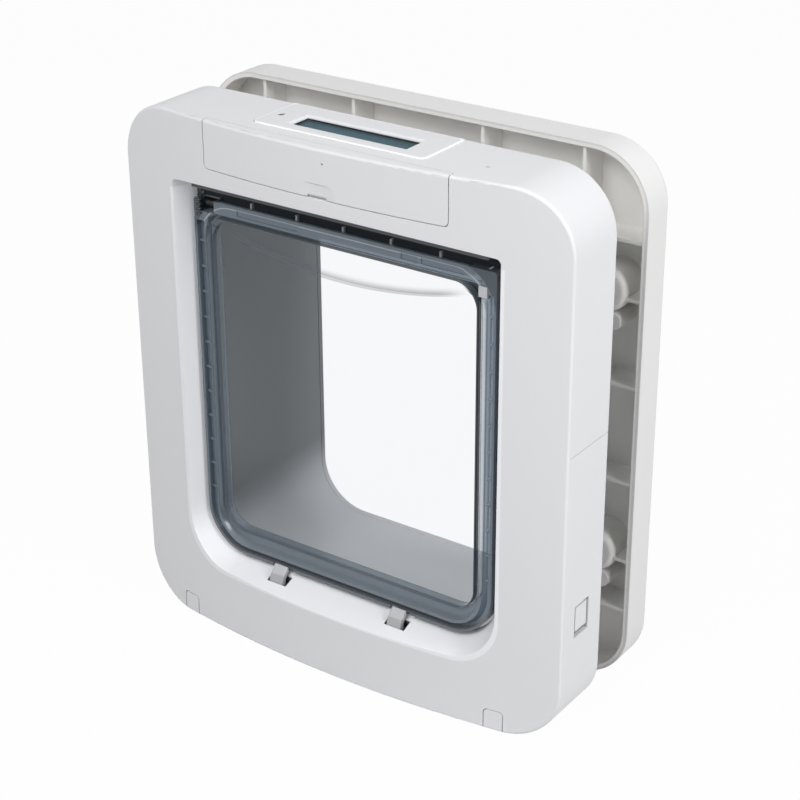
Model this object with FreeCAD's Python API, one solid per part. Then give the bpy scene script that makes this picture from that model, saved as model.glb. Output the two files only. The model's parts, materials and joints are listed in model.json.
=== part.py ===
import FreeCAD, Part
import math
import os

V = FreeCAD.Vector

# Working frame in mm: X to the right seen from the room, Y towards the outdoors
# with zero at the door face behind the room unit, Z up from the surface it stands on.
# The last function moves the whole model so that its origin is at the middle of the base.

# Room unit: a rounded rectangle with a face that bulges towards the room
frame_width = 262.0
frame_height = 287.5
corner_radius = 30.7
side_depth = 36.2
face_bulge = 13.1
skin = 2.6
face_edge_radius = 1.5
seam_gap = 0.4

# Recess in front of the flap, measured where it ends at the flap
recess_end_y = 6.2 - side_depth
side_margin = 40.4
top_margin = 41.0
recess_half_width = frame_width / 2 - side_margin
recess_low = 42.6
recess_high = frame_height - top_margin
recess_low_radius = 26.0
recess_high_radius = 2.6
recess_wall = 2.5
side_flare = 0.467
sill_slope = 0.365
lintel_slope = 0.46
radius_flare = 0.08

# Flap: a channelled frame round a clear pane, hung on two stub pins
flap_side_gap = 1.0
flap_sill_gap = 1.4
flap_top_gap = 4.7
flap_thickness = 8.4
flap_front_y = recess_end_y - 4.6
flap_band_width = 12.4
flap_base_step = 3.2
flap_rim_width = 1.4
bead_inner_foot = 3.1
bead_inner_crest = 4.6
bead_outer_crest = 6.3
bead_outer_foot = 8.1
bead_low_drop = 4.5
window_low_extra = 2.8
window_low_radius = 11.0
window_high = recess_high - 15.7
window_high_radius = 2.5
corner_fill = 8.5
rib_pitch = 28.0
rib_width = 1.1
rib_depth = 1.8
rib_rise = 1.6
side_rib_drop = 23.2
side_rib_ease = 1.6
bar_low_edge = 5.2
bar_pockets = ((-62.0, -24.0), (36.5, 46.0), (48.0, 72.0))
bar_pocket_depth = 0.5
bar_pocket_height = 3.4
bar_pocket_drop = 1.6
slot_half_width = 75.0
slot_front_wall = 1.8
slot_back_wall = 1.4
slot_floor_drop = 1.6
felt_thickness = 1.3
felt_top_gap = 0.4
pane_rebate = 2.2
pane_thickness = 2.6
pane_front_inset = 0.9
pane_fit = 0.2
bow_rise = 11.6
bow_lowest_z = recess_high - 30.4
bow_step = 0.8
hinge_drop = 3.8
flap_top_rounding = 8.0
hinge_back = 1.8
pin_radius = 1.5
pin_length = 13.6
pin_outer_gap = 1.0
bush_radius = 2.8
bush_length = 5.2
spring_radius = 2.6
spring_bore = 1.8
spring_length = 8.6
spring_side = 4.0
spring_room = 0.3
clip_block_width = 4.9
clip_block_height = 5.7
clip_block_top = recess_high - 13.0
clip_block_depth = 2.6
bush_gap = 0.3
running_gap = 0.06
seat_gap = 0.1

# Tunnel that lines the hole in the door
flange_thickness = 2.5
flange_half_width = recess_half_width + 10.4
flange_low = recess_low - 28.1
flange_high = recess_high + 10.5
tunnel_half_width = recess_half_width + 3.9
tunnel_floor = recess_low - 22.1
tunnel_roof = recess_high + 3.5
tunnel_low_radius = 28.0
tunnel_high_radius = 6.0
tunnel_wall = 2.0
tunnel_groove_inset = 3.0
tunnel_groove_width = 0.5
tunnel_groove_depth = 0.35
tunnel_end_y = 74.0
bush_boss_wall = 1.4

# Outdoor frame: a ribbed tray clamped on the far side of the door
door_thickness = 29.9
tray_depth = 20.4
tray_wall = 2.8
tray_back_radius = 3.0
collar_wall = 2.6
collar_gap = 0.5
rib_thickness = 1.8
rib_setback = 1.2
side_rib_shares = (0.151, 0.2504, 0.402, 0.5838, 0.742, 0.8443)
top_rib_shares = (0.147, 0.3626)
post_x = frame_width / 2 - 21.4
post_heights = (0.257 * frame_height, 0.7523 * frame_height)
post_radius = 11.4
post_edge_radius = 3.2
peg_radius = 4.4
peg_drop = 15.9
peg_outward = 4.0

# Fixings
bolt_radius = 2.5
bolt_hole_radius = 2.8
bolt_head_radius = 4.6
bolt_head_height = 3.0
bolt_head_depth = 6.0
bolt_grip = 12.0
boss_radius = 6.0
case_screw_radius = 1.5
case_screw_length = 12.0
case_head_radius = 3.0
case_head_height = 1.6
case_head_sink = 1.8
case_post_radius = 4.2
case_post_places = (
    (frame_width / 2 - 18.0, 22.0),
    (frame_width / 2 - 14.0, 0.514 * frame_height),
    (frame_width / 2 - 18.0, frame_height - 24.5),
)
thread_gap = 0.05

# Back plate of the room unit
plate_thickness = 3.0
plate_gap = 0.3
clip_low = 57.3
clip_high = 75.3
clip_front_y = 11.2 - side_depth
clip_back_y = clip_front_y + 13.0
clip_arm_thickness = 2.6
clip_gap = 0.5
clip_ledge = 3.0
clip_notch = 1.8
side_seam_z = 0.553 * frame_height
side_seam_width = 0.5

# Battery door, display and what lies behind them
cover_width = 0.542 * frame_width
cover_middle = -1.0
cover_left = cover_middle - cover_width / 2
cover_right = cover_middle + cover_width / 2
cover_low = frame_height - 24.3
cover_top_y = -side_depth - 5.8
cover_corner = 2.4
cover_dot_radius = 0.6
cover_dot_x = 2.6
cover_dot_drop = 7.0
dimple_radius = 0.8
dimple_x = 0.296 * frame_width
hook_width = 10.0
hook_reach = 2.6
hook_offset = 45.0
grip_width = 22.0
grip_height = 7.0
grip_depth = 0.5
slot_width = 11.0
slot_height = 1.2
cell_radius = 7.25
cell_length = 50.5
cell_gap = 0.3
tray_floor = cover_low - 2.6
tray_skin = 2.0
tray_front_y = -side_depth - 7.0
cell_pitch = 2 * (cell_radius + cell_gap) + 0.9
first_row_y = tray_front_y + cell_radius + cell_gap
cell_rows_y = (first_row_y, first_row_y + cell_pitch)
contact_space = 3.6
contact_plate = 0.8
contact_size = 11.0
contact_cone_radius = 4.2
contact_tip_radius = 2.2
board_thickness = 1.6
board_side_room = 4.0
chip_size = 9.0
panel_left = -50.9
panel_right = 49.3
panel_front_y = 1.8 - side_depth
panel_gap = 0.25
panel_raise = 0.5
panel_corner = 4.0
window_left = -33.0
window_right = 33.8
window_front_y = panel_front_y + 8.0
window_back_y = window_front_y + 13.5
window_bevel = 1.3
lens_thickness = 0.8
lens_sink = 0.9
display_border = 2.5
button_x = -45.1
button_y = window_front_y + 8.1
button_radius = 1.7
button_gap = 0.3
button_sink = 0.3
button_flange_radius = 2.7
button_flange = 1.0
button_travel = 0.8
switch_half_width = 2.2

# Latch bolts in the sill, each lifted by its own solenoid
catch_centres = (-0.1542 * frame_width, 0.1347 * frame_width)
catch_width = 8.4
catch_back_y = flap_front_y - 0.9
catch_front_y = catch_back_y - 5.6
catch_bend_y = catch_front_y + 1.2
catch_bend_z = recess_low + 0.1
catch_top_z = recess_low + 4.6
catch_foot_z = recess_low - 12.6
catch_travel = 9.0
catch_edge_radius = 0.5
catch_slot_front = 0.4
catch_slot_back = 0.6
catch_slot_left = 1.5
catch_slot_right = 2.4
catch_stem = 2.8
catch_foot_height = 3.6
catch_nose_depth = 3.0
plunger_radius = 2.2
plunger_gap = 0.05
plunger_low = skin + 3.0 + catch_travel
solenoid_width = 17.0
solenoid_depth = 11.0
solenoid_height = 17.0
pocket_depth = 1.2
pocket_height = 3.9
pocket_side = 2.2

# Antenna winding round the tunnel
coil_thickness = 2.8
coil_front_y = recess_end_y + 8.0
coil_back_y = coil_front_y + 10.0
coil_gap = 0.4

# Corner covers over the lower case screws
corner_cover_centres = (31.7 - frame_width / 2, frame_width / 2 - 34.6)
corner_cover_width = 10.4
corner_cover_height = 11.8
corner_cover_radius = 2.2

# Draught strip over the flap
strip_height = 1.7
strip_depth = 2.4
strip_front_y = recess_end_y - 8.4
strip_end_gap = 2.5


def box(x0, x1, y0, y1, z0, z1):
    return Part.makeBox(x1 - x0, y1 - y0, z1 - z0, V(x0, y0, z0))


def rod_y(radius, x, z, y0, y1):
    return Part.makeCylinder(radius, y1 - y0, V(x, y0, z), V(0, 1, 0))


def rod_x(radius, y, z, x0, x1):
    return Part.makeCylinder(radius, x1 - x0, V(x0, y, z), V(1, 0, 0))


def rod_z(radius, x, y, z0, z1):
    return Part.makeCylinder(radius, z1 - z0, V(x, y, z0), V(0, 0, 1))


def outline(half_width, low, high, low_radius, high_radius, y):
    """Closed wire of a rectangle at depth y with round lower and upper corners."""
    diagonal = math.sqrt(0.5)
    corners = (
        (-1, 1, low, low_radius),
        (1, 1, low, low_radius),
        (1, -1, high, high_radius),
        (-1, -1, high, high_radius),
    )
    arcs = []
    for side, up, z, radius in corners:
        cx = side * (half_width - radius)
        cz = z + up * radius
        on_side = V(side * half_width, y, cz)
        on_level = V(cx, y, z)
        middle = V(cx + side * radius * diagonal, y, cz - up * radius * diagonal)
        ends = (on_side, on_level) if side * up < 0 else (on_level, on_side)
        arcs.append((ends[0], middle, ends[1]))
    edges = []
    for index, (start, middle, end) in enumerate(arcs):
        edges.append(Part.Arc(start, middle, end).toShape())
        edges.append(Part.LineSegment(end, arcs[(index + 1) % 4][0]).toShape())
    return Part.Wire(edges)


def block(half_width, low, high, low_radius, high_radius, y0, y1):
    """Straight prism of the rounded rectangle from y0 to y1."""
    wire = outline(half_width, low, high, low_radius, high_radius, y0)
    return Part.Face(wire).extrude(V(0, y1 - y0, 0))


def frame_block(inset, y0, y1):
    """Outline that both frames share, drawn in by the inset."""
    return block(frame_width / 2 - inset, inset, frame_height - inset,
                 corner_radius - inset, corner_radius - inset, y0, y1)


def face_depth(x):
    """Depth of the bulged face at x, as a circle through its edges and middle."""
    half = frame_width / 2
    radius = (half ** 2 + face_bulge ** 2) / (2 * face_bulge)
    centre = radius - side_depth - face_bulge
    return centre - math.sqrt(radius ** 2 - x ** 2)


def face_prism(inset, y_back):
    """All that lies behind the bulged face, drawn in by the inset, up to y_back."""
    half = frame_width / 2
    radius = (half ** 2 + face_bulge ** 2) / (2 * face_bulge)
    centre_y = radius - side_depth - face_bulge
    cylinder = Part.makeCylinder(radius - inset, frame_height + 20,
                                 V(0, centre_y, -10), V(0, 0, 1))
    reach = box(-half - 10, half + 10, -side_depth - face_bulge - 5, y_back,
                -10, frame_height + 10)
    return cylinder.common(reach)


def room_body(inset, y_back):
    """Solid room unit, drawn in by the inset, with its back at y_back."""
    front = -side_depth - face_bulge - 2
    return frame_block(inset, front, y_back).common(face_prism(inset, y_back))


def rounded_room_body():
    """Room unit with its front edge rounded over."""
    solid = room_body(0, 0)
    edges = [e for e in solid.Edges if e.BoundBox.YMax < -side_depth + 0.5]
    return solid.makeFillet(face_edge_radius, edges)


def recess_section(offset, y):
    """Outline of the recess at depth y, grown by the offset."""
    ahead = recess_end_y - y
    return outline(recess_half_width + side_flare * ahead + offset,
                   recess_low - sill_slope * ahead - offset,
                   recess_high + lintel_slope * ahead + offset,
                   recess_low_radius + radius_flare * ahead + offset,
                   recess_high_radius + offset, y)


def recess_solid(offset):
    """Tapered recess from ahead of the face back to the flap."""
    front = -side_depth - face_bulge - 3
    sections = [recess_section(offset, front), recess_section(offset, recess_end_y)]
    return Part.makeLoft(sections, True, True)


def flap_block(inset, y0, y1):
    """Outline of the flap, drawn in by the inset."""
    return block(recess_half_width - flap_side_gap - inset,
                 recess_low + flap_sill_gap + inset,
                 recess_high - flap_top_gap - inset,
                 recess_low_radius - flap_side_gap - inset,
                 max(recess_high_radius - flap_side_gap - inset, 1.0), y0, y1)


def window_block(grow, y0, y1):
    """Window in the flap, grown by the given amount."""
    return block(recess_half_width - flap_side_gap - flap_band_width + grow,
                 recess_low + flap_sill_gap + flap_band_width + window_low_extra - grow,
                 window_high + grow,
                 window_low_radius + grow, window_high_radius + grow, y0, y1)


def bead_section(grow, y):
    """Outline round the window on which the bead stands, lower along the bottom."""
    low = recess_low + flap_sill_gap + flap_band_width + window_low_extra
    return outline(recess_half_width - flap_side_gap - flap_band_width + grow,
                   low - bead_low_drop - grow, window_high + grow,
                   window_low_radius + bead_low_drop / 2 + grow, window_high_radius + grow, y)


flap_back_y = flap_front_y + flap_thickness
flap_half_width = recess_half_width - flap_side_gap
flap_low = recess_low + flap_sill_gap
flap_high = recess_high - flap_top_gap
hinge_y = (flap_front_y + flap_back_y) / 2 + hinge_back
hinge_z = flap_high - hinge_drop
slot_front_y = flap_front_y + slot_front_wall
slot_back_y = flap_back_y - slot_back_wall
slot_floor = hinge_z - slot_floor_drop
felt_front_y = slot_back_y - felt_thickness
pane_front_y = flap_front_y + pane_front_inset
tunnel_start_y = recess_end_y + flange_thickness
tray_front_plane = door_thickness
tray_back_plane = door_thickness + tray_depth
board_z = tray_floor + tray_skin + 2 * cell_radius + 2 * cell_gap + 2.5
top_under = frame_height - skin


def case_posts():
    """Posts inside the room unit that take the case screws."""
    posts = []
    for x, z in case_post_places:
        for side in (-1, 1):
            post = rod_y(case_post_radius, side * x, z, -side_depth - face_bulge, -plate_thickness)
            bore = rod_y(case_screw_radius + thread_gap, side * x, z,
                         -plate_thickness - case_screw_length, 0)
            posts.append(post.cut(bore))
    return posts


def cover_region(gap):
    """Space of the battery door in the front skin, grown by the gap."""
    shape = block((cover_right - cover_left) / 2 + gap, cover_low - gap, frame_height + 12,
                  cover_corner + gap, 1.0, -side_depth - face_bulge - 5, cover_top_y + gap)
    shape.translate(V(cover_middle, 0, 0))
    return shape


def corner_cover_region(centre, gap):
    """Space of one corner cover: round top corners, open at the base."""
    half = corner_cover_width / 2 + gap
    top = corner_cover_height + gap
    shape = block(half, -20, top, 1.0, corner_cover_radius + gap,
                  -side_depth - face_bulge - 5, -side_depth + 2)
    shape.translate(V(centre, 0, 0))
    return shape


def catch_slot(centre):
    """Slot through the sill for one latch bolt."""
    half = catch_width / 2
    return box(centre - half - catch_slot_left, centre + half + catch_slot_right,
               catch_front_y - catch_slot_front, catch_back_y + catch_slot_back,
               recess_low - 8, recess_low + 3)


def bush_space(side):
    """Round pocket for one bush, open towards the flap."""
    outer = recess_half_width + bush_gap + bush_length
    ends = sorted((side * (recess_half_width - 1), side * outer))
    return rod_x(bush_radius + seat_gap, hinge_y, hinge_z, ends[0], ends[1])


def front_housing():
    """Outer shell of the room unit with the recess walls moulded in."""
    outer = rounded_room_body()
    shell = outer.cut(room_body(skin, 1))
    funnel = recess_solid(recess_wall).common(room_body(skin / 2, recess_end_y))
    shell = shell.fuse([funnel] + [p.common(room_body(skin / 2, 0)) for p in case_posts()])
    shell = shell.cut(recess_solid(0))
    cuts = [cover_region(seam_gap)]
    dimple_y = recess_end_y + 5.0
    cuts.append(rod_z(dimple_radius, dimple_x, dimple_y, frame_height - 1.2, frame_height + 1))
    cuts.append(panel_space(panel_gap, 5, top_under - 1, frame_height + 5))
    for centre in corner_cover_centres:
        cuts.append(corner_cover_region(centre, seam_gap / 2))
    for centre in catch_centres:
        cuts.append(catch_slot(centre))
    for side in (-1, 1):
        edge = side * frame_width / 2
        deep = edge - side * (skin + 1)
        x0, x1 = sorted((deep, edge + side))
        cuts.append(box(x0, x1, clip_front_y, clip_back_y, clip_low, clip_high))
        x0, x1 = sorted((edge - side * side_seam_width, edge + side))
        cuts.append(box(x0, x1, -side_depth + 1.5, 1,
                        side_seam_z, side_seam_z + side_seam_width))
        cuts.append(bush_space(side))
    return shell.cut(cuts)


def tunnel_block(grow, y0, y1):
    return block(tunnel_half_width + grow, tunnel_floor - grow, tunnel_roof + grow,
                 tunnel_low_radius + grow, tunnel_high_radius + grow, y0, y1)


def tunnel():
    """Liner through the door, with a flange that meets the end of the recess."""
    tube = tunnel_block(tunnel_wall, tunnel_start_y, tunnel_end_y)
    tube = tube.cut(tunnel_block(0, tunnel_start_y, tunnel_end_y))
    groove_y = tunnel_end_y - tunnel_groove_inset
    tube = tube.cut(tunnel_block(tunnel_groove_depth, groove_y - tunnel_groove_width, groove_y))
    flange = block(flange_half_width, flange_low, flange_high,
                   tunnel_low_radius + 5, tunnel_high_radius + 4,
                   recess_end_y, tunnel_start_y)
    mouth = block(recess_half_width, recess_low, recess_high, recess_low_radius,
                  recess_high_radius, recess_end_y - 1, tunnel_start_y)
    reach = bush_radius + bush_boss_wall
    bosses = []
    for side in (-1, 1):
        x0, x1 = sorted((side * recess_half_width, side * (tunnel_half_width + tunnel_wall / 2)))
        bosses.append(box(x0, x1, tunnel_start_y, hinge_y + reach, hinge_z - reach, hinge_z + reach))
    part = flange.cut(mouth).fuse([tube] + bosses)
    return part.cut([bush_space(side) for side in (-1, 1)])


def rear_cover():
    """Plate that closes the back of the room unit and lies against the door."""
    plate = frame_block(skin + plate_gap, -plate_thickness, 0)
    plate = plate.cut(tunnel_block(tunnel_wall + plate_gap, -plate_thickness, 0))
    plate = plate.cut(box(panel_left, panel_right, -plate_thickness - 1, 1,
                          top_under - 1, frame_height))
    parts = []
    for side in (-1, 1):
        for z in post_heights:
            parts.append(rod_y(boss_radius, side * post_x, z, -bolt_grip, -plate_thickness))
        inner = frame_width / 2 - skin - plate_gap
        x0, x1 = sorted((side * (inner - clip_arm_thickness), side * inner))
        low, high = clip_low + clip_ledge, clip_high - clip_notch
        parts.append(box(x0, x1, clip_front_y + 1, -plate_thickness, low, high))
        x0, x1 = sorted((side * inner, side * (frame_width / 2 - clip_gap)))
        hook_front = clip_front_y + 1 + clip_gap
        parts.append(box(x0, x1, hook_front, clip_back_y - 2 * clip_gap, low, high))
    plate = plate.fuse(parts)
    cuts = []
    for side in (-1, 1):
        for z in post_heights:
            cuts.append(rod_y(bolt_radius + thread_gap, side * post_x, z, -bolt_grip - 1, 1))
        for x, z in case_post_places:
            cuts.append(rod_y(case_screw_radius + thread_gap, side * x, z, -plate_thickness - 1, 1))
            cuts.append(rod_y(case_head_radius + plate_gap, side * x, z, -case_head_sink, 1))
    return plate.cut(cuts)


def exterior_frame():
    """Outdoor tray with a collar round the tunnel, ribs, bolt posts and pegs."""
    front, back = tray_front_plane, tray_back_plane
    outer = frame_block(0, front, back)
    rear_edges = [e for e in outer.Edges if e.BoundBox.YMin > back - 0.01]
    outer = outer.makeFillet(tray_back_radius, rear_edges)
    tray = outer.cut(frame_block(tray_wall, front - 1, back - tray_wall))
    grow = tunnel_wall + collar_gap
    parts = [tunnel_block(grow + collar_wall, front + rib_setback, back)]
    rib_front = front + rib_setback
    half = frame_width / 2 - tray_wall / 2
    for share in side_rib_shares:
        z = share * frame_height
        parts.append(box(-half, half, rib_front, back - 1, z - rib_thickness / 2, z + rib_thickness / 2))
    for share in top_rib_shares:
        for side in (-1, 1):
            middle = side * share * frame_width
            parts.append(box(middle - rib_thickness / 2, middle + rib_thickness / 2, rib_front,
                             back - 1, tray_wall / 2, frame_height - tray_wall / 2))
    for side in (-1, 1):
        for z in post_heights:
            post = rod_y(post_radius, side * post_x, z, front, back - 1)
            rim = [e for e in post.Edges if e.BoundBox.YMax < front + 0.01]
            parts.append(post.makeFillet(post_edge_radius, rim))
            parts.append(rod_y(peg_radius, side * (post_x + peg_outward), z - peg_drop, front + 1, back - 1))
    tray = tray.fuse([p.common(outer) for p in parts])
    cuts = [tunnel_block(grow, front - 1, back + 1)]
    for side in (-1, 1):
        for z in post_heights:
            cuts.append(rod_y(bolt_hole_radius, side * post_x, z, front - 1, back + 1))
            seat = back - bolt_head_depth
            cuts.append(rod_y(bolt_head_radius + 0.4, side * post_x, z, seat, back + 1))
    return tray.cut(cuts)


def fixing_bolts():
    """Four long bolts that clamp both frames on the door."""
    seat = tray_back_plane - bolt_head_depth
    bolts = []
    for side in (-1, 1):
        for z in post_heights:
            x = side * post_x
            head = rod_y(bolt_head_radius, x, z, seat, seat + bolt_head_height)
            across = box(x - 3.2, x + 3.2, seat + 1.6, seat + bolt_head_height, z - 0.6, z + 0.6)
            down = box(x - 0.6, x + 0.6, seat + 1.6, seat + bolt_head_height, z - 3.2, z + 3.2)
            shank = rod_y(bolt_radius, x, z, -bolt_grip + 0.5, seat)
            bolts.append(head.fuse(shank).cut([across, down]))
    return Part.makeCompound(bolts)


def case_screws():
    """Six screws that hold the back plate on the shell."""
    screws = []
    for side in (-1, 1):
        for x, z in case_post_places:
            seat = -case_head_sink
            head = rod_y(case_head_radius, side * x, z, seat, seat + case_head_height)
            top = seat + case_head_height
            slot = box(side * x - 2.2, side * x + 2.2, seat + 0.8, top, z - 0.4, z + 0.4)
            shank = rod_y(case_screw_radius, side * x, z, seat - case_screw_length + 1, seat)
            screws.append(head.fuse(shank).cut(slot))
    return Part.makeCompound(screws)


def corner_cover(centre):
    """Small cap in the lower corner of the face."""
    skin_piece = rounded_room_body().cut(room_body(skin, 1))
    return skin_piece.common(corner_cover_region(centre, -seam_gap / 2)).common(
        box(-frame_width, frame_width, -side_depth - face_bulge - 5, -side_depth, 0, 40))


def battery_cover():
    """Door over the cells: follows the bulged face and hooks under the top edge."""
    middle = cover_middle
    skin_piece = rounded_room_body().cut(room_body(skin, 1))
    cover = skin_piece.common(cover_region(0))
    hooks = []
    for side in (-1, 1):
        centre = middle + side * hook_offset
        arm_top = frame_height - skin + 0.3
        low = top_under - seam_gap - hook_reach
        hooks.append(box(centre - hook_width / 2, centre + hook_width / 2,
                         cover_top_y - 1.5, cover_top_y - 0.1, low, arm_top))
        hooks.append(box(centre - hook_width / 2, centre + hook_width / 2,
                         cover_top_y - 1.5, cover_top_y + hook_reach, low, top_under - seam_gap))
    cover = cover.fuse(hooks)
    face = face_depth(middle)
    radius = (grip_width ** 2 / 4 + grip_depth ** 2) / (2 * grip_depth)
    scoop = Part.makeSphere(radius, V(middle, face + grip_depth - radius, cover_low))
    scoop = scoop.common(box(middle - 20, middle + 20, face - 5, face + 5,
                             cover_low - 1, cover_low + grip_height))
    slot = box(middle - slot_width / 2, middle + slot_width / 2, face - 1, face + 1.6,
               cover_low - 1, cover_low + slot_height)
    dot = rod_y(cover_dot_radius, cover_dot_x, frame_height - cover_dot_drop, face - 1, face + 1.2)
    return cover.cut([scoop, slot, dot])


def battery_tray():
    """Open-fronted tray for four cells, fixed to the back plate."""
    middle = cover_middle
    half = cell_length + contact_space + tray_skin
    back = -plate_thickness
    bay_back = cell_rows_y[1] + cell_radius + cell_gap
    tray = box(middle - half, middle + half, tray_front_y, back, tray_floor, board_z)
    bay = box(middle - half + tray_skin, middle + half - tray_skin, tray_front_y - 1,
              bay_back, tray_floor + tray_skin, board_z + 1)
    rear = box(middle - half + tray_skin, middle + half - tray_skin, bay_back + tray_skin,
               back + 1, tray_floor + tray_skin, board_z + 1)
    divider_y = (cell_rows_y[0] + cell_rows_y[1]) / 2
    divider = box(middle - half, middle + half, divider_y - 0.35, divider_y + 0.35,
                  tray_floor, tray_floor + tray_skin + 3)
    return tray.cut([bay, rear]).fuse(divider)


def battery_cell(row, side):
    """One cylindrical cell with its raised pole, lying along X."""
    middle = cover_middle
    y = cell_rows_y[row]
    z = tray_floor + tray_skin + cell_radius + cell_gap
    start = middle + 0.15 if side > 0 else middle - 0.15 - cell_length
    can = rod_x(cell_radius, y, z, start, start + cell_length - 1.5)
    can = can.makeFillet(0.8, [e for e in can.Edges if e.Curve.TypeId == "Part::GeomCircle"])
    pole = rod_x(2.6, y, z, start + cell_length - 2, start + cell_length - 0.2)
    return can.fuse(pole)


def battery_contacts():
    """Four sprung contacts, two at each end of the tray."""
    middle = cover_middle
    z = tray_floor + tray_skin + cell_radius + cell_gap
    parts = []
    for side in (-1, 1):
        wall = middle + side * (cell_length + contact_space)
        for y in cell_rows_y:
            x0, x1 = sorted((wall, wall - side * contact_plate))
            half = contact_size / 2
            plate = box(x0, x1, y - half, y + half, z - half, z + half)
            face = wall - side * contact_plate
            at, along = V(face, y, z), V(-side, 0, 0)
            reach = contact_space - contact_plate
            cone = Part.makeCone(contact_cone_radius, contact_tip_radius, reach - 0.4, at, along)
            hollow = Part.makeCone(contact_cone_radius - 1, contact_tip_radius - 1, reach, at, along)
            parts.append(plate.fuse(cone.cut(hollow)))
    return Part.makeCompound(parts)


def circuit_board():
    """Board over the cells with its chip, crystal, plug socket and push switch."""
    middle = cover_middle
    half = cell_length + contact_space + tray_skin
    top = board_z + board_thickness
    back = -plate_thickness - 1
    chip_x = window_right + display_border + 1.7
    board = box(middle - half, middle + half, tray_front_y + board_side_room, back, board_z, top)
    fitted = [
        box(button_x - switch_half_width, button_x + switch_half_width,
            button_y - switch_half_width, button_y + switch_half_width,
            top, top_under - button_flange - button_travel - seat_gap),
        box(chip_x, chip_x + chip_size, window_front_y, window_front_y + chip_size, top, top + 1.4),
        box(chip_x, chip_x + 7, back - 8, back - 4, top, top + 1.8),
        box(window_left - 17, window_left - 9, back - 5, back - 1, top, top + 2.4),
    ]
    return board.fuse(fitted)


def panel_space(gap, y_back, low, high):
    """Space of the display plate, grown by the gap, with round front corners."""
    space = box(panel_left - gap, panel_right + gap, panel_front_y - gap, y_back, low, high)
    upright = [e for e in space.Edges
               if e.BoundBox.ZLength > 1 and e.BoundBox.YMax < panel_front_y - gap + 0.01]
    return space.makeFillet(panel_corner + gap, upright)


def display_panel():
    """Plate let into the top, with a bevelled window and the button hole."""
    plate_top = frame_height + panel_raise
    plate = panel_space(0, 0, top_under, plate_top)
    window = box(window_left, window_right, window_front_y, window_back_y,
                 top_under - 1, plate_top + 1)
    wide = window_bevel
    top_wire = Part.makePolygon([
        V(window_left - wide, window_front_y - wide, plate_top),
        V(window_right + wide, window_front_y - wide, plate_top),
        V(window_right + wide, window_back_y + wide, plate_top),
        V(window_left - wide, window_back_y + wide, plate_top),
        V(window_left - wide, window_front_y - wide, plate_top)])
    low_z = plate_top - wide * 0.7
    low_wire = Part.makePolygon([
        V(window_left, window_front_y, low_z), V(window_right, window_front_y, low_z),
        V(window_right, window_back_y, low_z), V(window_left, window_back_y, low_z),
        V(window_left, window_front_y, low_z)])
    bevel = Part.makeLoft([low_wire, top_wire], True, True)
    hole = rod_z(button_radius + button_gap, button_x, button_y, top_under - 1, frame_height + 1)
    rim = [e for e in plate.Edges if e.BoundBox.ZMin > plate_top - 0.01]
    plate = plate.makeFillet(panel_raise, rim)
    return plate.cut([window, bevel, hole])


def display_window():
    """Clear lens that fills the window."""
    gap = seat_gap
    high = frame_height - lens_sink
    return box(window_left + gap, window_right - gap, window_front_y + gap,
               window_back_y - gap, high - lens_thickness, high)


def display_module():
    """Liquid crystal cell in its holder, between the board and the lens."""
    low = board_z + board_thickness
    high = frame_height - lens_sink - lens_thickness
    holder = box(window_left - display_border, window_right + display_border,
                 window_front_y - display_border, window_back_y + display_border, low, top_under)
    cell = box(window_left + seat_gap, window_right - seat_gap, window_front_y + seat_gap,
               window_back_y - seat_gap, top_under, high)
    return holder.fuse(cell)


def mode_button():
    """Small round button that a flange keeps under the panel."""
    top = frame_height - button_sink
    cap = rod_z(button_radius, button_x, button_y, top_under - button_flange, top)
    cap = cap.makeFillet(0.3, [e for e in cap.Edges if e.BoundBox.ZMin > top - 0.01])
    flange = rod_z(button_flange_radius, button_x, button_y,
                   top_under - button_flange, top_under - 0.05)
    return cap.fuse(flange)


def antenna_coil():
    """Flat winding round the tunnel that reads the tag."""
    near = tunnel_wall + coil_gap
    outer = tunnel_block(near + coil_thickness, coil_front_y, coil_back_y)
    return outer.cut(tunnel_block(near, coil_front_y, coil_back_y))


def top_seal():
    """Draught strip hanging from the recess roof over the flap."""
    ahead = recess_end_y - strip_front_y
    roof = recess_high + lintel_slope * ahead
    half = flap_half_width - strip_end_gap
    strip = box(-half, half, strip_front_y, strip_front_y + strip_depth,
                roof - strip_height, roof + 2)
    return strip.cut(recess_solid(8).cut(recess_solid(0)))


def flap_ribs():
    """Short ribs: upright ones in the slot along the top, level ones across the side channels."""
    low_y = flap_front_y + flap_base_step
    ribs = []
    count = int(slot_half_width // rib_pitch)
    for index in range(-count, count + 1):
        x = index * rib_pitch
        ribs.append(box(x - rib_width / 2, x + rib_width / 2, felt_front_y - rib_depth,
                        felt_front_y - seat_gap, slot_floor - 0.5, flap_high + rib_rise))
    inner = recess_half_width - flap_side_gap - flap_band_width + bead_outer_foot - 0.5
    z = flap_high - side_rib_drop
    while z > flap_low + recess_low_radius:
        for side in (-1, 1):
            x0, x1 = sorted((side * inner, side * (flap_half_width - flap_rim_width / 2)))
            ribs.append(box(x0, x1, flap_front_y + side_rib_ease, low_y + 0.5,
                            z - rib_width / 2, z + rib_width / 2))
        z -= rib_pitch / 2
    return ribs


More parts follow.
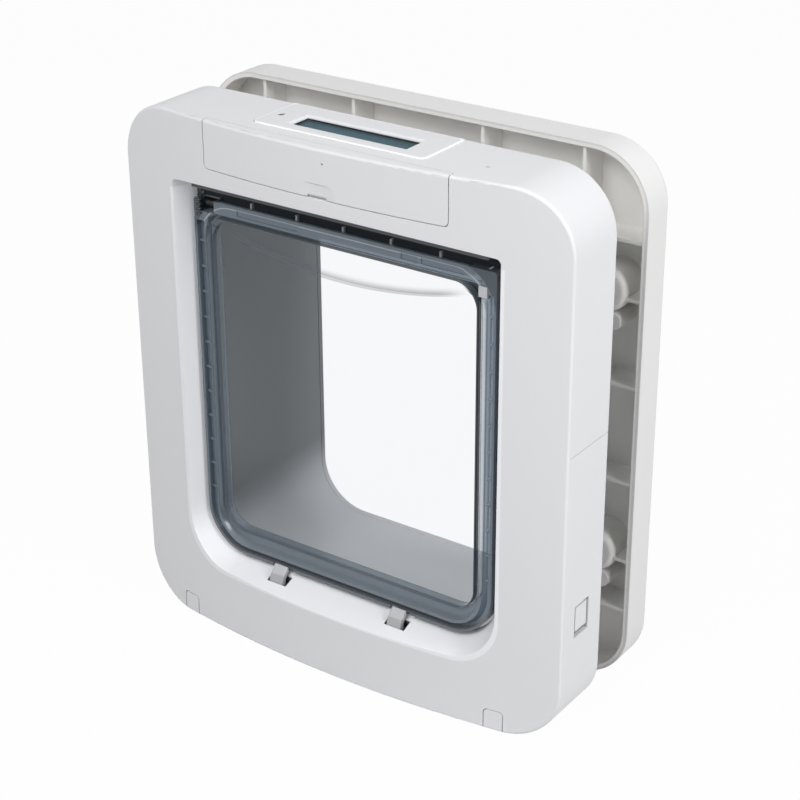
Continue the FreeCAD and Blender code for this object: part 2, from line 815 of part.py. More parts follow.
def flap_frame():
    """Smoked frame of the flap: outer rim, side channels with ribs, bead, slotted top bar."""
    low_y = flap_front_y + flap_base_step
    solid = flap_block(0, low_y, flap_back_y)
    rim = flap_block(0, flap_front_y, low_y).cut(flap_block(flap_rim_width, flap_front_y - 1, low_y + 1))
    bead = Part.makeLoft([bead_section(bead_outer_foot, low_y),
                          bead_section(bead_outer_crest, flap_front_y)], True, True)
    bead = bead.cut(Part.makeLoft([bead_section(bead_inner_foot, low_y),
                                   bead_section(bead_inner_crest, flap_front_y)], True, True))
    corners = []
    for side in (-1, 1):
        x0, x1 = sorted((side * (flap_half_width - corner_fill), side * flap_half_width))
        corners.append(box(x0, x1, flap_front_y, low_y, hinge_z - 8, flap_high))
    half = flap_half_width
    corners.append(box(-half, half, flap_front_y, low_y, window_high + bar_low_edge, flap_high))
    whole = flap_block(0, flap_front_y - 1, flap_back_y + 1)
    frame = solid.fuse([rim, bead] + [c.common(whole) for c in corners])
    below = box(-half, half, flap_front_y - 1, flap_back_y + 1, 0, hinge_z)
    rounding = rod_x(flap_top_rounding, hinge_y, hinge_z, -half, half)
    frame = frame.common(below.fuse(rounding))
    frame = frame.cut(box(-slot_half_width, slot_half_width, slot_front_y, slot_back_y,
                          slot_floor, flap_high + 1))
    frame = frame.fuse(flap_ribs())
    cuts = [window_block(0, flap_front_y - 1, flap_back_y + 1)]
    for x0, x1 in bar_pockets:
        top = flap_high - bar_pocket_drop
        cuts.append(box(x0, x1, flap_front_y - 1, flap_front_y + bar_pocket_depth,
                        top - bar_pocket_height, top))
    cuts.append(window_block(pane_rebate, pane_front_y, flap_back_y + 1))
    for centre in catch_centres:
        half = catch_width / 2 + pocket_side
        cuts.append(box(centre - half, centre + half, flap_front_y - 1,
                        flap_front_y + pocket_depth, flap_low - 1, flap_low + pocket_height))
    for side in (-1, 1):
        end = side * flap_half_width
        x0, x1 = sorted((end + side, end - side * (pin_length - pin_outer_gap)))
        cuts.append(rod_x(pin_radius + thread_gap, hinge_y, hinge_z, x0, x1))
    outer = -flap_half_width + spring_side
    reach = spring_radius + spring_room
    cuts.append(box(outer - spring_room, outer + spring_length + spring_room,
                    flap_front_y - 1, flap_back_y + 1, hinge_z - reach, flap_high + 1))
    cuts.append(clip_block_space())
    return frame.cut(cuts)


def clip_block_space():
    """Corner pocket at the pane's upper right corner."""
    inner = recess_half_width - flap_side_gap - flap_band_width + pane_rebate + seat_gap
    return box(inner, inner + clip_block_width, flap_front_y, flap_front_y + clip_block_depth,
               clip_block_top - clip_block_height, clip_block_top)


def clip_block():
    """Small light block pressed into the pocket of the flap's frame."""
    block_shape = clip_block_space()
    front = [e for e in block_shape.Edges if e.BoundBox.YMax < flap_front_y + 0.01]
    return block_shape.makeFillet(0.4, front)


def flap_felt():
    """Black felt in the slot along the flap's top, which closes the gap under the recess roof."""
    half = slot_half_width - seat_gap
    return box(-half, half, felt_front_y, slot_back_y - seat_gap / 2, slot_floor + seat_gap / 2,
               recess_high - felt_top_gap)


def hinge_spring():
    """Coil round the left pin that keeps the flap from rattling, as the tube it fills."""
    outer = -flap_half_width + spring_side
    tube = rod_x(spring_radius, hinge_y, hinge_z, outer, outer + spring_length)
    return tube.cut(rod_x(spring_bore, hinge_y, hinge_z, outer - 1, outer + spring_length + 1))


def flap_pane():
    """Clear pane with a shallow bowed step across its upper part."""
    back = pane_front_y + pane_thickness
    pane = window_block(pane_rebate - pane_fit, pane_front_y, back)
    half = recess_half_width - flap_side_gap - flap_band_width
    radius = (half ** 2 + bow_rise ** 2) / (2 * bow_rise)
    centre_z = bow_lowest_z + radius
    disc = Part.makeCone(radius, radius - 2 * bow_step, bow_step,
                         V(0, pane_front_y, centre_z), V(0, -1, 0))
    raised = disc.common(window_block(pane_rebate - pane_fit, pane_front_y - bow_step, pane_front_y))
    return pane.fuse(raised)


def hinge_pin(side):
    """Stub pin fixed in the flap and turning in its bush."""
    outer = recess_half_width + bush_gap + bush_length - pin_outer_gap
    inner = flap_half_width - (pin_length - pin_outer_gap) + seat_gap
    x0, x1 = sorted((side * inner, side * outer))
    return rod_x(pin_radius, hinge_y, hinge_z, x0, x1)


def hinge_bush(side):
    """Bush in the side wall of the recess."""
    inner = recess_half_width + bush_gap
    x0, x1 = sorted((side * inner, side * (inner + bush_length)))
    bore = rod_x(pin_radius + running_gap, hinge_y, hinge_z, x0 - 1, x1 + 1)
    return rod_x(bush_radius, hinge_y, hinge_z, x0, x1).cut(bore)


def catch(centre):
    """Latch bolt with its bent nose standing up through the sill."""
    points = [(catch_front_y, catch_foot_z), (catch_front_y, recess_low - 4.1),
              (catch_bend_y, catch_bend_z), (catch_back_y, catch_top_z),
              (catch_back_y, catch_top_z - catch_nose_depth),
              (catch_front_y + catch_stem, catch_bend_z - catch_nose_depth),
              (catch_front_y + catch_stem, catch_foot_z + catch_foot_height),
              (catch_back_y, catch_foot_z + catch_foot_height),
              (catch_back_y, catch_foot_z)]
    start = centre - catch_width / 2
    wire = Part.makePolygon([V(start, y, z) for y, z in points + points[:1]])
    body = Part.Face(wire).extrude(V(catch_width, 0, 0))
    sharp = []
    for edge in body.Edges:
        low, high = edge.BoundBox.ZMin, edge.BoundBox.ZMax
        at_bend = abs(low - catch_bend_z) < 0.01
        if at_bend or abs(low - catch_top_z) < 0.01 and abs(high - catch_top_z) < 0.01:
            sharp.append(edge)
    return body.makeFillet(catch_edge_radius, sharp)


def plunger(centre):
    """Iron core that lifts the latch bolt."""
    y = (catch_front_y + catch_back_y) / 2
    return rod_z(plunger_radius, centre, y, plunger_low, catch_foot_z)


def solenoid(centre):
    """Coil box standing on the floor of the housing, bored for the plunger."""
    y = (catch_front_y + catch_back_y) / 2
    half = solenoid_width / 2
    body = box(centre - half, centre + half, y - solenoid_depth / 2, y + solenoid_depth / 2,
               skin, skin + solenoid_height)
    winding = box(centre - half - 1, centre + half + 1, y - solenoid_depth / 2 - 1,
                  y + solenoid_depth / 2 + 1, skin + 3, skin + solenoid_height - 3)
    core = rod_z(solenoid_depth / 2 - 0.6, centre, y, skin + 2, skin + solenoid_height - 2)
    body = body.cut(winding).fuse(core)
    bore = rod_z(plunger_radius + plunger_gap, centre, y, skin + 2, skin + solenoid_height + 1)
    return body.cut(bore)


def build():
    """Every sub-part by its node name."""
    nodes = {
        "front_housing": front_housing(),
        "rear_cover": rear_cover(),
        "tunnel": tunnel(),
        "exterior_frame": exterior_frame(),
        "fixing_bolts": fixing_bolts(),
        "case_screws": case_screws(),
        "battery_cover": battery_cover(),
        "battery_tray": battery_tray(),
        "battery_contacts": battery_contacts(),
        "circuit_board": circuit_board(),
        "display_panel": display_panel(),
        "display_window": display_window(),
        "display_module": display_module(),
        "mode_button": mode_button(),
        "antenna_coil": antenna_coil(),
        "top_seal": top_seal(),
        "flap_frame": flap_frame(),
        "flap_pane": flap_pane(),
        "flap_felt": flap_felt(),
        "flap_block": clip_block(),
        "hinge_spring": hinge_spring(),
    }
    for name, side in (("left", -1), ("right", 1)):
        nodes["hinge_pin_" + name] = hinge_pin(side)
        nodes["hinge_bush_" + name] = hinge_bush(side)
    for name, centre in zip(("left", "right"), corner_cover_centres):
        nodes["corner_cover_" + name] = corner_cover(centre)
    for name, centre in zip(("left", "right"), catch_centres):
        nodes["catch_" + name] = catch(centre)
        nodes["plunger_" + name] = plunger(centre)
        nodes["solenoid_" + name] = solenoid(centre)
    for row in (0, 1):
        for side in (-1, 1):
            name = "battery_cell_" + str(row * 2 + (side + 3) // 2)
            nodes[name] = battery_cell(row, side)
    return nodes


def export(nodes):
    """Move the model onto its origin and write one file for each node."""
    middle_y = (tunnel_end_y - side_depth - face_bulge) / 2
    os.makedirs("parts", exist_ok=True)
    for name, shape in nodes.items():
        placed = shape.copy()
        placed.translate(V(0, -middle_y, 0))
        solids = placed.Solids
        placed = solids[0] if len(solids) == 1 else Part.makeCompound(solids)
        placed.exportStep("parts/" + name + ".step")
        print(name, "solids", len(solids), "volume", round(placed.Volume), "valid", placed.isValid())


export(build())
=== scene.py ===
import json
import math
import bpy
import numpy as np
from mathutils import Matrix, Vector


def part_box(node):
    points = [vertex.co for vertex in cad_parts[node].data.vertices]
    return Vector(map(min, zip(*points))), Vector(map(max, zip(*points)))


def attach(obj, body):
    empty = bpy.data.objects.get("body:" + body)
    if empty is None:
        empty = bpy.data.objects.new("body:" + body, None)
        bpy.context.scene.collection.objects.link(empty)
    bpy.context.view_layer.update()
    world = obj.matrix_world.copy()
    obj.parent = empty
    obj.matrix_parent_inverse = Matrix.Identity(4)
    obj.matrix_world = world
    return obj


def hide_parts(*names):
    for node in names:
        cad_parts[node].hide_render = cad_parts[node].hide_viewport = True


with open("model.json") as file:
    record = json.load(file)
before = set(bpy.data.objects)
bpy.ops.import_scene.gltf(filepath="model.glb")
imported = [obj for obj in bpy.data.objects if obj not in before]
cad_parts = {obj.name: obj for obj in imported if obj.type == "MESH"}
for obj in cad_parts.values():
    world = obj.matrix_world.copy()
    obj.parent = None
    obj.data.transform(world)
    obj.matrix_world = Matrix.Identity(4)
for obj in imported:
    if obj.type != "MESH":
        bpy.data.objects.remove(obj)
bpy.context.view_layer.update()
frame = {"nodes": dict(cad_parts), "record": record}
nodes = frame["nodes"]
print("frame loaded,", len(nodes), "nodes")


# makes any node: its settings first, then its sockets, each with a plain value or a link
def makeNode(tree, kind, settings=None, sockets=None, out=0):
    made = tree.nodes.new(kind)
    for key, value in (settings or {}).items():
        setattr(made, key, value)
    for key, value in (sockets or {}).items():
        if isinstance(value, Val):
            tree.links.new(value.socket, made.inputs[key])
        else:
            made.inputs[key].default_value = value
    return Val(tree, made.outputs[out]) if len(made.outputs) else made


# one shader value, so that sums on it read as plain expressions
class Val:
    def __init__(self, tree, socket):
        self.tree = tree
        self.socket = socket

    def _sum(self, operation, other=0.0, flipped=False):
        first, second = (other, self) if flipped else (self, other)
        return makeNode(self.tree, "ShaderNodeMath", {"operation": operation}, {0: first, 1: second})

    def __add__(self, other):
        return self._sum("ADD", other)

    def __radd__(self, other):
        return self._sum("ADD", other, True)

    def __sub__(self, other):
        return self._sum("SUBTRACT", other)

    def __rsub__(self, other):
        return self._sum("SUBTRACT", other, True)

    def __mul__(self, other):
        return self._sum("MULTIPLY", other)

    def __rmul__(self, other):
        return self._sum("MULTIPLY", other, True)

    def size(self):
        return self._sum("ABSOLUTE")

    def root(self):
        return self._sum("SQRT")

    def below(self, edge):
        return self._sum("LESS_THAN", edge)

    def most(self, other):
        return self._sum("MAXIMUM", other)

    def wrapped(self, length):
        return self._sum("FLOORED_MODULO", length)

    # 0 up to low, 1 from high on, eased between
    def rise(self, low, high):
        return makeNode(self.tree, "ShaderNodeMapRange", {"interpolation_type": "SMOOTHSTEP"},
                        {"Value": self, "From Min": low, "From Max": high})


# the nodes of one material or of the world, whose name is its owner
class Finish:
    def __init__(self, owner):
        self.owner = owner
        owner.use_nodes = True
        self.tree = owner.node_tree
        self.tree.nodes.clear()

    def add(self, kind, settings=None, sockets=None, out=0):
        return makeNode(self.tree, kind, settings, sockets, out)

    def place(self):
        return self.add("ShaderNodeTexCoord", out="Object")

    def axes(self, where, names="XYZ"):
        return [self.add("ShaderNodeSeparateXYZ", None, {0: where}, name) for name in names]

    def noise(self, where, scale, detail=2.0, rough=0.5):
        return self.add("ShaderNodeTexNoise", None,
                        {"Vector": where, "Scale": scale, "Detail": detail, "Roughness": rough}, "Fac")

    # 6, 7 and 2 are the Mix node's sockets for colours
    def blend(self, factor, first, second):
        return self.add("ShaderNodeMix", {"data_type": "RGBA"},
                        {"Factor": factor, 6: first, 7: second}, 2)

    # relief from a height, over edges that a radius eases
    def bump(self, height, depth, radius=0.0):
        sockets = {"Height": height, "Distance": depth, "Strength": 1.0}
        if radius:
            sockets["Normal"] = self.add("ShaderNodeBevel", {"samples": 6}, {"Radius": radius})
        return self.add("ShaderNodeBump", None, sockets)

    def transparent(self, colour):
        return self.add("ShaderNodeBsdfTransparent", None, {"Color": colour})

    def mixShaders(self, factor, first, second):
        return self.add("ShaderNodeMixShader", None, {0: factor, 1: first, 2: second})

    def surface(self, shader):
        kind = "World" if isinstance(self.owner, bpy.types.World) else "Material"
        self.add("ShaderNodeOutput" + kind, None, {"Surface": shader})
        return self.owner


def grey(level, tint=(1.0, 1.0, 1.0)):
    return (level * tint[0], level * tint[1], level * tint[2], 1.0)


# distance outwards from a rounded outline: the length of (how far beyond the corner centres, each way,
# never below 0) less the corner radius
def roundedDistance(across, along, corner):
    across, along = across.most(0.0), along.most(0.0)
    return (across * across + along * along).root() - corner


# the same for an outline in x and z, level with the opening through the door
def outlineDistance(f, where, edge):
    x, z = f.axes(where, "XZ")
    middle, reach = (edge["low"] + edge["high"]) / 2, (edge["high"] - edge["low"]) / 2
    return roundedDistance(x.size() - (edge["half"] - edge["corner"]),
                           (z - middle).size() - (reach - edge["corner"]), edge["corner"])


# how far a point lies beyond a node's sides, in x and in y, the sides drawn in by the inset
def beyondSides(node, x, y, inset):
    low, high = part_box(node)
    return [(axis - (start + end) / 2).size() - ((end - start) / 2 - inset)
            for axis, start, end in ((x, low.x, high.x), (y, low.y, high.y))]


# spark-eroded moulding: slow cloud in the colour, fine grain in roughness and relief, eased edges;
# a look with a floor colour changes to it below a height, as painted light or shade, and one with a colour
# for inside an outline takes it there, as painted light
moulding = {"cloudDetail": 3.0, "grainDetail": 2.0, "grainRough": 0.6, "ior": 1.48, "specular": 0.5}


def mouldedFinish(name, look, marks=None):
    f = Finish(bpy.data.materials.new(name))
    where = f.place()
    cloud = f.noise(where, look["cloud"], moulding["cloudDetail"])
    grain = f.noise(where, look["grain"], moulding["grainDetail"], moulding["grainRough"])
    colour = f.blend(cloud, look["colour"], look["shade"])
    height = f.axes(where, "Z")[0]
    if "floor" in look:
        colour = f.blend(1.0 - height.rise(*look["floorEdge"]), colour, look["floor"])
    if "inner" in look:
        outline = look["outline"]
        inside = 1.0 - outlineDistance(f, where, outline).rise(0.0, outline["soft"])
        if "top" in outline:
            inside = inside * (1.0 - height.rise(outline["top"], outline["top"] + outline["soft"]))
        colour = f.blend(inside, colour, look["inner"])
    if marks:
        colour = marks(f, where, colour)
    return f.surface(f.add("ShaderNodeBsdfPrincipled", None, {
        "Base Color": colour, "Roughness": look["rough"] + (grain - 0.5) * look["roughSpread"],
        "Normal": f.bump(grain, look["relief"], look["edge"]),
        "IOR": moulding["ior"], "Specular IOR Level": moulding["specular"]}))


# brushed or plated metal: long streaks along one axis, and slow spots in the colour
brushing = {"streakDetail": 3.0, "streakRough": 0.6, "spot": 90.0, "spotDetail": 2.0}


def metalFinish(name, look):
    f = Finish(bpy.data.materials.new(name))
    where = f.place()
    stretched = f.add("ShaderNodeMapping", None, {"Vector": where, "Scale": look["stretch"]})
    streak = f.noise(stretched, look["grain"], brushing["streakDetail"], brushing["streakRough"])
    spot = f.noise(where, brushing["spot"], brushing["spotDetail"])
    return f.surface(f.add("ShaderNodeBsdfPrincipled", None, {
        "Base Color": f.blend(spot, look["colour"], look["shade"]), "Metallic": 1.0,
        "Roughness": look["rough"] + (streak - 0.5) * look["roughSpread"],
        "Normal": f.bump(streak, look["relief"])}))


# thin clear or smoked plastic: light goes straight through a tinted film, mixed with some body colour,
# and over both lies a mirror layer that grows towards grazing sight; veil gives extra share and marks
sheet = {"bodyRough": 0.5, "faceOn": 0.04}


def thinFinish(name, look, veil):
    f = Finish(bpy.data.materials.new(name))
    where = f.place()
    flow = f.noise(where, look["flow"])
    fine = f.noise(where, look["grain"])
    normal = f.bump(flow, look["relief"])
    marks = veil(f, where)
    share = look["body"] + flow * look["cloud"] + marks["thick"]
    colour = f.blend(flow, look["colour"], look["shade"])
    colour = f.blend(marks["dark"], colour, look["deep"])
    if "light" in marks:
        colour = f.blend(marks["light"], colour, look["bright"])
    film = f.transparent(look["film"])
    if "clear" in marks:
        film = f.mixShaders(marks["clear"], film, f.transparent(look["clearFilm"]))
    body = f.add("ShaderNodeBsdfPrincipled", None, {
        "Base Color": colour, "Roughness": sheet["bodyRough"],
        "Specular IOR Level": 0.0, "Normal": normal})
    mirror = f.add("ShaderNodeBsdfPrincipled", None, {
        "Base Color": look["sheen"], "Metallic": 1.0,
        "Roughness": look["rough"] + fine * look["roughSpread"], "Normal": normal})
    turned = f.add("ShaderNodeLayerWeight", None, {"Blend": 0.5, "Normal": normal}, "Facing")
    grazing = turned * turned * turned * turned * turned
    gloss = (grazing * (1.0 - sheet["faceOn"]) + sheet["faceOn"]) * look["gloss"]
    return f.surface(f.mixShaders(gloss, f.mixShaders(share, film, body), mirror))


whiteTint = (1.0, 1.006, 1.035)
finishes = {}

# marks on the shell, in metres: painted shade darkens the walls of the latch slots, a painted highlight draws
# a bright line round the rim of the display's plate, and painted shade makes a shallow dimple in the top look
# grey
shell = {"slope": 0.365, "sill": 0.0573, "soft": 0.0002, "slotHalf": (0.0063, 0.0066),
         "slotShift": 0.00045, "slotBack": (-0.0467, -0.0465), "slotFront": (-0.0546, -0.0544),
         "slotDepth": 0.9, "dark": grey(0.03),
         "corner": 0.004, "lineFrom": (-0.0010, -0.0008), "lineTo": (0.00025, 0.0005),
         "topFace": (0.2862, 0.2866), "bright": grey(1.0),
         "dimple": (0.0783, -0.0383, 0.2875), "dimpleSize": (0.0005, 0.0017), "dimpleDepth": 0.6,
         "dimpleShade": grey(0.42)}


def shellMarks(f, where, colour):
    x, y, z = f.axes(where)
    below = 1.0 - (z - y * shell["slope"] - shell["sill"]).rise(-shell["soft"], shell["soft"])
    # painted shade: the walls of the latch slots are darkened to near black
    for name in ("catch_left", "catch_right"):
        low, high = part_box(name)
        across = (x - ((low.x + high.x) / 2 + shell["slotShift"])).size()
        along = y.rise(*shell["slotFront"]) * (1.0 - y.rise(*shell["slotBack"]))
        slotShade = below * (1.0 - across.rise(*shell["slotHalf"])) * along
        colour = f.blend(slotShade * shell["slotDepth"], colour, shell["dark"])
    # painted highlight: a bright line round the rim of the display's plate
    across, along = beyondSides("display_panel", x, y, shell["corner"])
    away = roundedDistance(across, along, shell["corner"])
    rim = away.rise(*shell["lineFrom"]) * (1.0 - away.rise(*shell["lineTo"])) * z.rise(*shell["topFace"])
    colour = f.blend(rim, colour, shell["bright"])
    # painted shade: the shallow dimple in the top is greyed
    away = f.add("ShaderNodeVectorMath", {"operation": "DISTANCE"}, {0: where, 1: shell["dimple"]}, "Value")
    return f.blend((1.0 - away.rise(*shell["dimpleSize"])) * shell["dimpleDepth"], colour, shell["dimpleShade"])


# the recess before the flap, painted lighter and bluer than the face round it as painted light
recessOutline = {"half": 0.0978, "low": 0.0350, "high": 0.2743, "corner": 0.027, "soft": 0.0008,
                 "top": 0.2472}
finishes["white_shell"] = mouldedFinish("whiteShell", {
    "colour": grey(0.80, whiteTint), "shade": grey(0.77, whiteTint), "cloud": 9.0, "grain": 1700.0,
    "inner": (0.91, 0.92, 0.95, 1), "outline": recessOutline,
    "rough": 0.42, "roughSpread": 0.12, "relief": 0.00004, "edge": 0.0005}, shellMarks)

# painted shade darkens the walls of the tunnel's white liner to grey, and painted light makes its floor,
# below a height, pale
finishes["white_liner"] = mouldedFinish("whiteLiner", {
    "colour": (0.25, 0.27, 0.285, 1), "shade": (0.225, 0.245, 0.26, 1), "cloud": 7.0, "grain": 1400.0,
    "floor": (0.83, 0.85, 0.88, 1), "floorEdge": (0.034, 0.066),
    "rough": 0.40, "roughSpread": 0.12, "relief": 0.00005, "edge": 0.0004})

# the ribbed inside of the outdoor frame, painted lighter and warmer than its outer face as painted light
ribbedOutline = {"half": 0.1292, "low": 0.002, "high": 0.2862, "corner": 0.028, "soft": 0.0006}
finishes["white_frame"] = mouldedFinish("whiteFrame", {
    "colour": (0.80, 0.80, 0.80, 1), "shade": (0.765, 0.765, 0.76, 1), "cloud": 11.0, "grain": 1500.0,
    "inner": (0.96, 0.95, 0.92, 1), "outline": ribbedOutline,
    "rough": 0.38, "roughSpread": 0.14, "relief": 0.00004, "edge": 0.0005})

finishes["grey_trim"] = mouldedFinish("greyTrim", {
    "colour": grey(0.55, whiteTint), "shade": grey(0.50, whiteTint), "cloud": 60.0, "grain": 2600.0,
    "rough": 0.45, "roughSpread": 0.15, "relief": 0.00003, "edge": 0.0003})
# the catches, grey, with painted shade darkening their lower part below a height
finishes["latch"] = mouldedFinish("latchGrey", {
    "colour": grey(0.55, whiteTint), "shade": grey(0.50, whiteTint), "cloud": 60.0, "grain": 2600.0,
    "floor": grey(0.43, whiteTint), "floorEdge": (0.0424, 0.0432),
    "rough": 0.45, "roughSpread": 0.15, "relief": 0.00003, "edge": 0.0003})
finishes["button"] = mouldedFinish("darkButton", {
    "colour": grey(0.05), "shade": grey(0.07), "cloud": 200.0, "grain": 2600.0,
    "rough": 0.5, "roughSpread": 0.15, "relief": 0.00003, "edge": 0.0002})
finishes["light_block"] = mouldedFinish("lightBlock", {
    "colour": grey(0.62, whiteTint), "shade": grey(0.57, whiteTint), "cloud": 90.0, "grain": 2600.0,
    "rough": 0.4, "roughSpread": 0.15, "relief": 0.00002, "edge": 0.0004})

finishes["black_inner"] = mouldedFinish("blackInner", {
    "colour": grey(0.022), "shade": grey(0.03), "cloud": 40.0, "grain": 1800.0,
    "rough": 0.5, "roughSpread": 0.2, "relief": 0.00003, "edge": 0.0003})
finishes["black_felt"] = mouldedFinish("blackFelt", {
    "colour": (0.022, 0.027, 0.032, 1), "shade": (0.04, 0.048, 0.056, 1), "cloud": 700.0, "grain": 2800.0,
    "rough": 0.9, "roughSpread": 0.1, "relief": 0.0002, "edge": 0.0003})
finishes["seal_strip"] = mouldedFinish("sealStrip", {
    "colour": grey(0.10, (0.95, 1.0, 1.08)), "shade": grey(0.14, (0.95, 1.0, 1.08)), "cloud": 50.0,
    "grain": 2200.0, "rough": 0.6, "roughSpread": 0.2, "relief": 0.00004, "edge": 0.0002})

finishes["coil_wire"] = mouldedFinish("coilWire", {
    "colour": (0.36, 0.12, 0.035, 1), "shade": (0.28, 0.09, 0.03, 1), "cloud": 200.0, "grain": 1200.0,
    "rough": 0.3, "roughSpread": 0.2, "relief": 0.0002, "edge": 0.0002})
finishes["cell_sleeve"] = mouldedFinish("cellSleeve", {
    "colour": grey(0.05), "shade": (0.03, 0.035, 0.05, 1), "cloud": 30.0, "grain": 900.0,
    "rough": 0.25, "roughSpread": 0.1, "relief": 0.00001, "edge": 0.0004})
finishes["board"] = mouldedFinish("lacqueredBoard", {
    "colour": (0.01, 0.09, 0.035, 1), "shade": (0.012, 0.13, 0.05, 1), "cloud": 400.0, "grain": 700.0,
    "rough": 0.3, "roughSpread": 0.2, "relief": 0.00003, "edge": 0.0001})
finishes["display"] = mouldedFinish("displayCell", {
    "colour": (0.080, 0.118, 0.145, 1), "shade": (0.092, 0.134, 0.164, 1), "cloud": 25.0, "grain": 2400.0,
    "rough": 0.3, "roughSpread": 0.1, "relief": 0.00001, "edge": 0.0002})

finishes["spring_contact"] = metalFinish("springContact", {
    "colour": grey(0.62), "shade": grey(0.5), "stretch": (1.0, 1.0, 8.0), "grain": 500.0,
    "rough": 0.3, "roughSpread": 0.15, "relief": 0.00002})
finishes["steel_fixings"] = metalFinish("platedSteel", {
    "colour": grey(0.58), "shade": (0.50, 0.49, 0.47, 1), "stretch": (8.0, 1.0, 8.0), "grain": 400.0,
    "rough": 0.32, "roughSpread": 0.2, "relief": 0.00002})
finishes["pin_steel"] = metalFinish("groundSteel", {
    "colour": grey(0.5), "shade": grey(0.44), "stretch": (1.0, 10.0, 10.0), "grain": 600.0,
    "rough": 0.25, "roughSpread": 0.15, "relief": 0.00001})
finishes["dark_spring"] = metalFinish("blackenedWire", {
    "colour": grey(0.05), "shade": grey(0.08), "stretch": (1.0, 6.0, 6.0), "grain": 700.0,
    "rough": 0.3, "roughSpread": 0.2, "relief": 0.00002})


# black border of the display's lens: the greater of the distances from its sides in x and y
lensBorder = {"inset": 0.0006, "soft": 0.0002, "thick": 0.88}


def lensVeil(f, where):
    across, along = beyondSides("display_window", *f.axes(where, "XY"), lensBorder["inset"])
    border = across.most(along).rise(0.0, lensBorder["soft"])
    return {"thick": border * lensBorder["thick"], "dark": border}


finishes["clear_lens"] = thinFinish("clearLens", {
    "colour": (0.02, 0.025, 0.024, 1), "shade": (0.03, 0.035, 0.033, 1), "deep": (0.008, 0.011, 0.012, 1),
    "film": (0.72, 0.86, 0.90, 1), "sheen": (0.9, 1.0, 1.0, 1), "flow": 12.0, "grain": 500.0,
    "rough": 0.05, "roughSpread": 0.05, "body": 0.1, "cloud": 0.02, "gloss": 0.2,
    "relief": 0.00001}, lensVeil)


# marks round the flap's window, by the distance from its rounded outline outwards, in metres: a dark
# line on the front of the pane's rim as painted shade, a clearer stripe, short light dashes, a thicker outer
# edge darkened with painted shade, a side edge darkened with painted shade, a dark lip behind as painted
# shade, and light ribs across the top bar
bands = {"half": 0.0772, "low": 0.0592, "high": 0.2308, "corner": 0.011, "frontFace": (-0.0459, -0.0454),
         "line": (0.0010, 0.0012), "lineFrom": (0.070, 0.0775), "lineDepth": 0.95, "lineShade": 0.85,
         "rim": (0.00188, 0.00195), "rimDepth": 0.92,
         "clearFront": (0.0045, 0.0050, 0.0063, 0.0068), "clearBack": (0.0018, 0.0020, 0.0034, 0.0040),
         "beside": (0.0784, 0.0792), "clearDepth": 0.3,
         "outer": (0.0098, 0.0105), "outerDepth": 0.16, "outerShade": 0.35,
         "edge": (0.0119, 0.0122), "edgeDepth": 0.4, "edgeShade": 0.85,
         "lip": (-0.0396, -0.0392), "lipWithin": (0.0024, 0.0028), "lipDepth": 0.4, "lipShade": 0.8,
         "dash": (0.0086, 0.0087, 0.0092, 0.0094), "dashFrom": 0.1614, "dashEvery": 0.0319,
         "dashLength": (0.0158, 0.0163), "dashDepth": 0.25, "dashLight": 0.4,
         "ribEvery": 0.028, "ribHalf": (0.0006, 0.0007), "ribFoot": (0.2375, 0.2378),
         "ribFront": (-0.0445, -0.0443), "ribDepth": 0.4, "ribLight": 0.8,
         "bottom": (0.056, 0.066), "bottomLight": 0.1}


# 1 between the two middle values, eased to 0 outside
def stripe(far, start, full, last, end):
    return far.rise(start, full) * (1.0 - far.rise(last, end))


def bandVeil(f, where):
    far = outlineDistance(f, where, bands)
    x, y, z = f.axes(where)
    back = y.rise(*bands["frontFace"])
    front = 1.0 - back
    clear = (stripe(far, *bands["clearFront"]) * front).most(stripe(far, *bands["clearBack"]) * back)
    clear = clear * x.size().rise(*bands["beside"])
    outer = far.rise(*bands["outer"])
    length = 1.0 - (z - bands["dashFrom"]).wrapped(bands["dashEvery"]).rise(*bands["dashLength"])
    dash = stripe(far, *bands["dash"]) * length * front
    edge = far.rise(*bands["edge"])
    lip = y.rise(*bands["lip"]) * (1.0 - far.rise(*bands["lipWithin"]))
    half = bands["ribEvery"] / 2
    fromRib = ((x + half).wrapped(2 * half) - half).size()
    rib = (1.0 - fromRib.rise(*bands["ribHalf"])) * (
        z.rise(*bands["ribFoot"]) * y.rise(*bands["ribFront"]))
    thick = (outer * bands["outerDepth"] + edge * bands["edgeDepth"] + lip * bands["lipDepth"]
             - clear * bands["clearDepth"] + dash * bands["dashDepth"] + rib * bands["ribDepth"])
    # painted shade: the outer edge, the frame's side edge and the lip behind are darkened
    dark = (outer * bands["outerShade"]).most(edge * bands["edgeShade"]).most(lip * bands["lipShade"])
    bottom = 1.0 - z.rise(*bands["bottom"])
    light = (dash * bands["dashLight"]).most(rib * bands["ribLight"]).most(bottom * bands["bottomLight"])
    return {"thick": thick, "dark": dark, "clear": clear, "light": light}


finishes["smoked_frame"] = thinFinish("smokedFrame", {
    "colour": (0.31, 0.375, 0.435, 1), "shade": (0.265, 0.325, 0.385, 1), "deep": (0.03, 0.038, 0.05, 1),
    "film": (0.52, 0.58, 0.64, 1), "clearFilm": (0.86, 0.88, 0.90, 1), "bright": grey(0.8),
    "sheen": (0.93, 0.97, 1.0, 1), "flow": 22.0, "grain": 700.0, "rough": 0.2, "roughSpread": 0.06,
    "body": 0.42, "cloud": 0.12, "gloss": 1.2, "relief": 0.00005}, bandVeil)


# bowed step of the pane, drawn as painted shade in a soft veil: full at the arc, fading upwards and to both
# ends;
# the arc's height is its lowest height plus the bow times x squared
paneStep = {"half": 0.074, "lowest": 0.2161, "bow": 1.95, "width": 0.0040, "edge": 0.0004, "depth": 0.36,
            "ends": (0.55, 1.0)}


